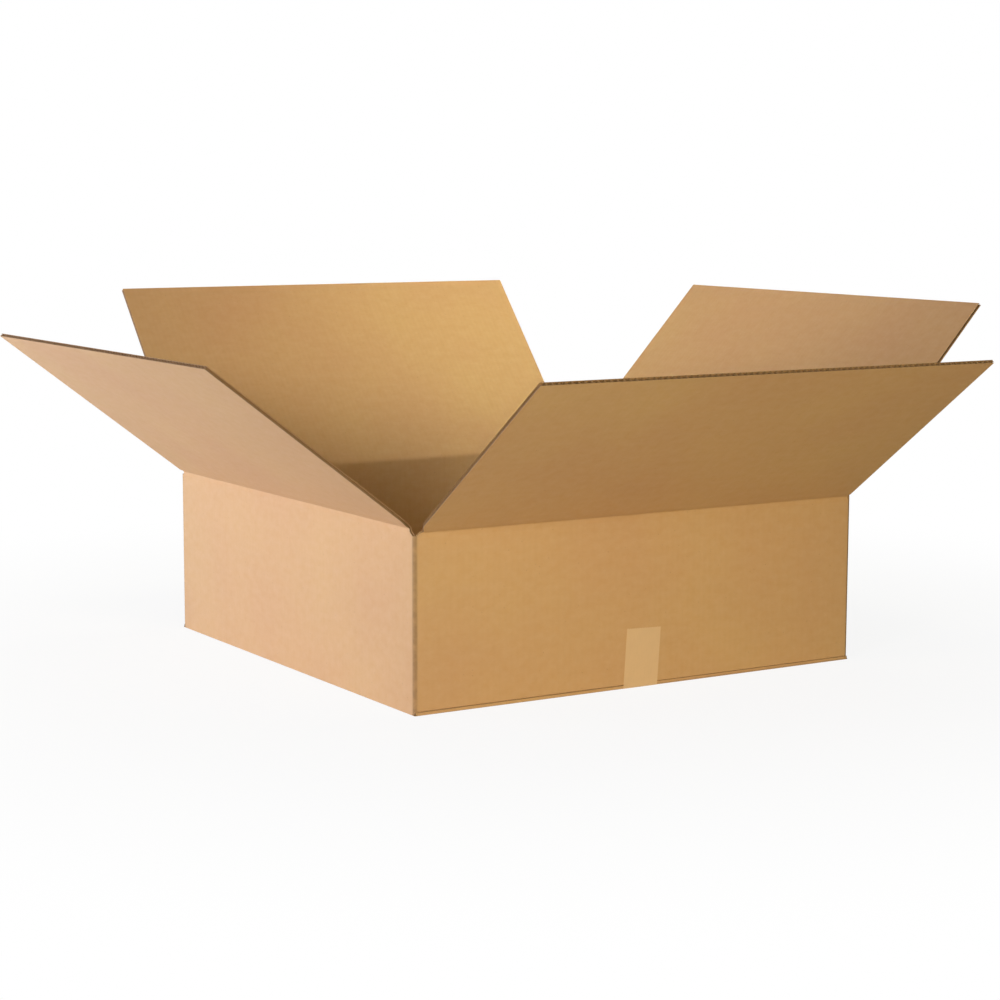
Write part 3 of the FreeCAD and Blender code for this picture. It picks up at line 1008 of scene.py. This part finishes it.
def make_tape(board, tape):
    """The strip of tape along the floor seam, with an end up two walls."""
    path = tape_path(board)
    half = TAPE_HIGH.x
    columns = spaced(-half, half, tape.tooth_pitch / 2)
    travelled = [0.0]
    for (a, _), (b, _) in zip(path, path[1:]):
        travelled.append(travelled[-1] + (b - a).length)

    # Outer and inner face; the strip is furthest off its line where it leaves the front wall
    points = []
    sheet_map = []
    for layer in (tape.lift + tape.thickness, tape.lift):
        for row, (place, outward) in enumerate(path):
            for column, x in enumerate(columns):
                y, z = place + outward * layer
                if z > 0.0:
                    share = 1 - z / TAPE_HIGH.z if y < 0 else 0.0
                else:
                    share = (HALF_Y - y) / (2 * HALF_Y)
                side = x - tape.askew * share
                if y < 0 and z > 0.0:
                    z -= tape.end_turn * x * tape.askew * z / TAPE_HIGH.z ** 2
                if row in (0, len(path) - 1) and column % 2:
                    z -= tape.tooth
                points.append((side, y, z))
                sheet_map.append((x, travelled[row]))

    wide = len(columns)
    quads = [(k, k + wide, k + wide + 1, k + 1)
             for row in range(len(path) - 1)
             for k in range(row * wide, row * wide + wide - 1)]
    sides, edge = closed_sheet(quads, wide * len(path))
    piece = new_piece("floor_tape", points, sides + edge, np.array(sheet_map))
    piece.data.materials.append(tape_material())
    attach(piece, "carton")
    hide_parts("bottom_tape")
    return piece


def seen_directly(add):
    """1 for the camera's own rays, also in gloss and through glass, and 0 as a light."""
    light = add("ShaderNodeLightPath").outputs
    seen = maths(add, "MAXIMUM", light["Is Camera Ray"], light["Is Glossy Ray"])
    return maths(add, "MAXIMUM", seen, light["Is Transmission Ray"])


def floor_material():
    """Pale floor: white to the camera far out, with the carton's shadow near it."""
    material, tree, add = new_material("Pale floor")
    tree.nodes.clear()
    paint = add("ShaderNodeBsdfDiffuse", Color=(0.85, 0.85, 0.85, 1))
    glow = add("ShaderNodeEmission")
    place = add("ShaderNodeTexCoord").outputs["Object"]
    away = add("ShaderNodeVectorMath", {"operation": "LENGTH"}, i0=place).outputs["Value"]
    white = add("ShaderNodeMapRange", {"interpolation_type": "SMOOTHSTEP"}, Value=away,
                From_Min=0.3, From_Max=1.3, To_Min=0.9, To_Max=1.0)
    share = times(add, seen_directly(add), white.outputs[0])
    mix = add("ShaderNodeMixShader", i0=share, i1=paint.outputs[0], i2=glow.outputs[0])
    add("ShaderNodeOutputMaterial", Surface=mix.outputs[0])
    return material


def make_world():
    """White to the camera behind everything, and dark as a light."""
    world = bpy.data.worlds.new("Studio")
    world.use_nodes = True
    world.node_tree.nodes.clear()
    add = new_nodes(world.node_tree)
    white = add("ShaderNodeBackground", Color=(1, 1, 1, 1), Strength=seen_directly(add))
    add("ShaderNodeOutputWorld", Surface=white.outputs[0])
    bpy.context.scene.world = world


def softbox(name, place, target, width, height, power, colour, spread=math.pi):
    """A rectangular lamp that faces a target."""
    lamp = bpy.data.lights.new(name, "AREA")
    lamp.shape = "RECTANGLE"
    lamp.size = width
    lamp.size_y = height
    lamp.energy = power
    lamp.color = colour
    lamp.spread = spread
    holder = bpy.data.objects.new(name, lamp)
    holder.location = place
    way = Vector(target) - Vector(place)
    holder.rotation_euler = way.to_track_quat("-Z", "Y").to_euler()
    bpy.context.collection.objects.link(holder)


def make_camera(stage):
    """The camera that takes the photograph's view."""
    data = bpy.data.cameras.new("Camera")
    data.lens = stage.lens
    data.sensor_width = 36.0
    data.clip_start = 0.05
    data.clip_end = 50.0
    camera = bpy.data.objects.new("Camera", data)
    turn = Matrix.Rotation(-stage.camera_turn, 4, "Z")
    tilt = Matrix.Rotation(QUARTER - stage.camera_tilt, 4, "X")
    roll = Matrix.Rotation(stage.camera_roll, 4, "Z")
    camera.matrix_world = Matrix.Translation(stage.camera_place) @ turn @ tilt @ roll
    bpy.context.collection.objects.link(camera)
    bpy.context.scene.camera = camera


def make_floor():
    """A wide floor just below the carton, as part of the stage."""
    mesh = bpy.data.meshes.new("floor")
    half = 20.0
    below = -0.0002
    mesh.from_pydata(
        [(-half, -half, below), (half, -half, below), (half, half, below), (-half, half, below)],
        [], [(0, 1, 2, 3)])
    mesh.materials.append(floor_material())
    floor = bpy.data.objects.new("floor", mesh)
    bpy.context.collection.objects.link(floor)


class CARTON_OT_stage(bpy.types.Operator):
    """Add the floor, the lamps, the white surround and the camera"""
    bl_idname = "carton.add_stage"
    bl_label = "Stage"

    def execute(self, context):
        stage = context.scene.carton_stage
        make_camera(stage)
        make_world()
        make_floor()
        middle = (0.0, 0.0, 0.25)
        far_flap = (0.2, 0.5, 0.3)
        far_corner = (0.3, 0.46, 0.38)
        softbox("Key", (-3.2, -2.0, 1.2), middle, 0.8, 0.8, stage.key_power, stage.key_tint)
        softbox("Low", (-1.8, 0.9, 0.3), middle, 1.0, 0.4, stage.low_power, stage.low_tint)
        softbox("Front", (-0.8, -3.2, 0.5), middle, 1.4, 0.9, stage.front_power, stage.front_tint)
        softbox("Rear", (0.3, 3.2, 1.4), middle, 2.4, 1.6, stage.rear_power, stage.rear_tint)
        softbox("Overhead", (0.2, 0.1, 2.4), far_flap, 0.6, 0.6, stage.over_power,
                stage.over_tint, spread=1.0)
        softbox("Beam", (0.6, -2.2, 2.4), far_corner, 0.4, 0.4, stage.beam_power,
                stage.beam_tint, spread=0.3)
        context.scene.view_settings.view_transform = "Standard"
        return {"FINISHED"}


class CARTON_OT_body(bpy.types.Operator):
    """Add the folded board: walls, corners, joint tab and floor flaps"""
    bl_idname = "carton.add_body"
    bl_label = "Body"

    def execute(self, context):
        make_body(context.scene.carton_board)
        return {"FINISHED"}


class CARTON_OT_flaps(bpy.types.Operator):
    """Add the four top flaps with their creases"""
    bl_idname = "carton.add_flaps"
    bl_label = "Flaps"

    def execute(self, context):
        for body in FLAP_BODIES:
            make_flap(body, context.scene.carton_board)
        return {"FINISHED"}


class CARTON_OT_tape(bpy.types.Operator):
    """Add the tape along the floor seam"""
    bl_idname = "carton.add_tape"
    bl_label = "Tape"

    def execute(self, context):
        make_tape(context.scene.carton_board, context.scene.carton_tape)
        return {"FINISHED"}


class CARTON_PT_panel(bpy.types.Panel):
    """Sidebar panel with the carton's sizes, colours and steps"""
    bl_idname = "CARTON_PT_panel"
    bl_label = "Carton"
    bl_space_type = "VIEW_3D"
    bl_region_type = "UI"
    bl_category = "Carton"

    def draw(self, context):
        layout = self.layout
        for group in ("carton_board", "carton_tape", "carton_colours", "carton_stage"):
            settings = getattr(context.scene, group)
            box = layout.box()
            for key in settings.__annotations__:
                box.prop(settings, key)
        for operator in (CARTON_OT_stage, CARTON_OT_body, CARTON_OT_flaps, CARTON_OT_tape):
            layout.operator(operator.bl_idname)


GROUPS = {
    "carton_board": BoardSizes,
    "carton_tape": TapeSizes,
    "carton_colours": CartonColours,
    "carton_stage": StageSettings,
}
CLASSES = (
    *GROUPS.values(),
    CARTON_OT_stage,
    CARTON_OT_body,
    CARTON_OT_flaps,
    CARTON_OT_tape,
    CARTON_PT_panel,
)


def register():
    for item in CLASSES:
        bpy.utils.register_class(item)
    for name, group in GROUPS.items():
        setattr(bpy.types.Scene, name, PointerProperty(type=group))


def unregister():
    for name in GROUPS:
        delattr(bpy.types.Scene, name)
    for item in reversed(CLASSES):
        bpy.utils.unregister_class(item)


def main():
    register()
    bpy.ops.carton.add_stage()
    bpy.ops.carton.add_body()
    bpy.ops.carton.add_flaps()
    bpy.ops.carton.add_tape()


if __name__ == "__main__":
    main()
